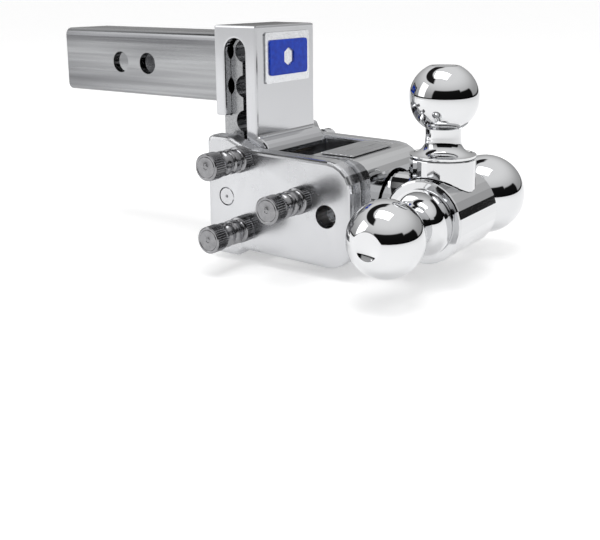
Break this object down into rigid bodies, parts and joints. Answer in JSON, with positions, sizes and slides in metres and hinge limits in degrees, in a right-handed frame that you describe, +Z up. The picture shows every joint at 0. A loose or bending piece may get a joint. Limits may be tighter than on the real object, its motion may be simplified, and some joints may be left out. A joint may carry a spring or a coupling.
{
  "type": "adjustable trailer hitch with swivel ball head",
  "caption": "Receiver hitch: square shank, slotted drop post, pinned height-adjustable yoke and a turning head that carries balls of different diameters.",
  "frame": {"origin": "on the underside of the square shank, on its centre line, directly below the axis of the receiver-pin hole further from the post", "axes": "+X runs along the shank towards the balls, +Z is up, +Y is towards the side with the barrel locks and the largest ball"},
  "size_m": [0.3657, 0.2001, 0.1649],
  "materials": {
    "satin_chrome": "satin, drawn along the shank",
    "chrome": "mirror polished plating",
    "milled_steel": "milled, unplated",
    "bronze": "turned bearing bronze",
    "plate_steel": "fine brushed",
    "badge_silver": "silver lacquer",
    "badge_blue": "gloss enamel",
    "stainless": "turned and knurled",
    "brass": "turned"
  },
  "bodies": {
    "hitch_frame": {"shank_tube": "satin_chrome", "post_frame": "chrome", "notch_rack": "milled_steel", "yoke_plate_near": "chrome", "yoke_plate_far": "chrome", "yoke_bridge": "chrome", "swivel_bush": "bronze", "thrust_washer": "bronze", "cross_rivet": "satin_chrome", "rating_plate": "plate_steel", "badge_plate": "badge_silver", "badge_panel": "badge_blue"},
    "swivel_head": {"head_spindle": "chrome", "head_drum": "chrome", "top_pedestal": "chrome", "ball_top": "chrome", "ball_near": "chrome", "ball_far": "chrome"},
    "upper_pin": {"pin_upper": "stainless"},
    "lower_pin": {"pin_lower": "stainless"},
    "swivel_pin": {"pin_swivel": "stainless"},
    "upper_lock": {"lock_upper_housing": "chrome"},
    "lower_lock": {"lock_lower_housing": "chrome"},
    "swivel_lock": {"lock_swivel_housing": "chrome"},
    "upper_key": {"lock_upper_core": "brass"},
    "lower_key": {"lock_lower_core": "brass"},
    "swivel_key": {"lock_swivel_core": "brass"}
  },
  "joints": [
    {"name": "head_turn", "type": "hinge", "parent": "hitch_frame", "child": "swivel_head", "pos_m": [0.2743, 0, -0.0676], "axis": [1, 0, 0], "continuous": true},
    {"name": "upper_pin_slide", "type": "slide", "parent": "hitch_frame", "child": "upper_pin", "axis": [0, -1, 0], "range_m": [0, 0.13]},
    {"name": "upper_lock_slide", "type": "slide", "parent": "hitch_frame", "child": "upper_lock", "axis": [0, 1, 0], "range_m": [0, 0.035]},
    {"name": "upper_key_turn", "type": "hinge", "parent": "upper_lock", "child": "upper_key", "pos_m": [0.1426, 0.058, -0.0345], "axis": [0, 1, 0], "range_deg": [0, 90]},
    {"name": "lower_pin_slide", "type": "slide", "parent": "hitch_frame", "child": "lower_pin", "axis": [0, -1, 0], "range_m": [0, 0.13]},
    {"name": "lower_lock_slide", "type": "slide", "parent": "hitch_frame", "child": "lower_lock", "axis": [0, 1, 0], "range_m": [0, 0.035]},
    {"name": "lower_key_turn", "type": "hinge", "parent": "lower_lock", "child": "lower_key", "pos_m": [0.1426, 0.058, -0.0853], "axis": [0, 1, 0], "range_deg": [0, 90]},
    {"name": "swivel_pin_slide", "type": "slide", "parent": "hitch_frame", "child": "swivel_pin", "axis": [0, -1, 0], "range_m": [0, 0.13]},
    {"name": "swivel_lock_slide", "type": "slide", "parent": "hitch_frame", "child": "swivel_lock", "axis": [0, 1, 0], "range_m": [0, 0.035]},
    {"name": "swivel_key_turn", "type": "hinge", "parent": "swivel_lock", "child": "swivel_key", "pos_m": [0.1932, 0.058, -0.0578], "axis": [0, 1, 0], "range_deg": [0, 90]}
  ]
}
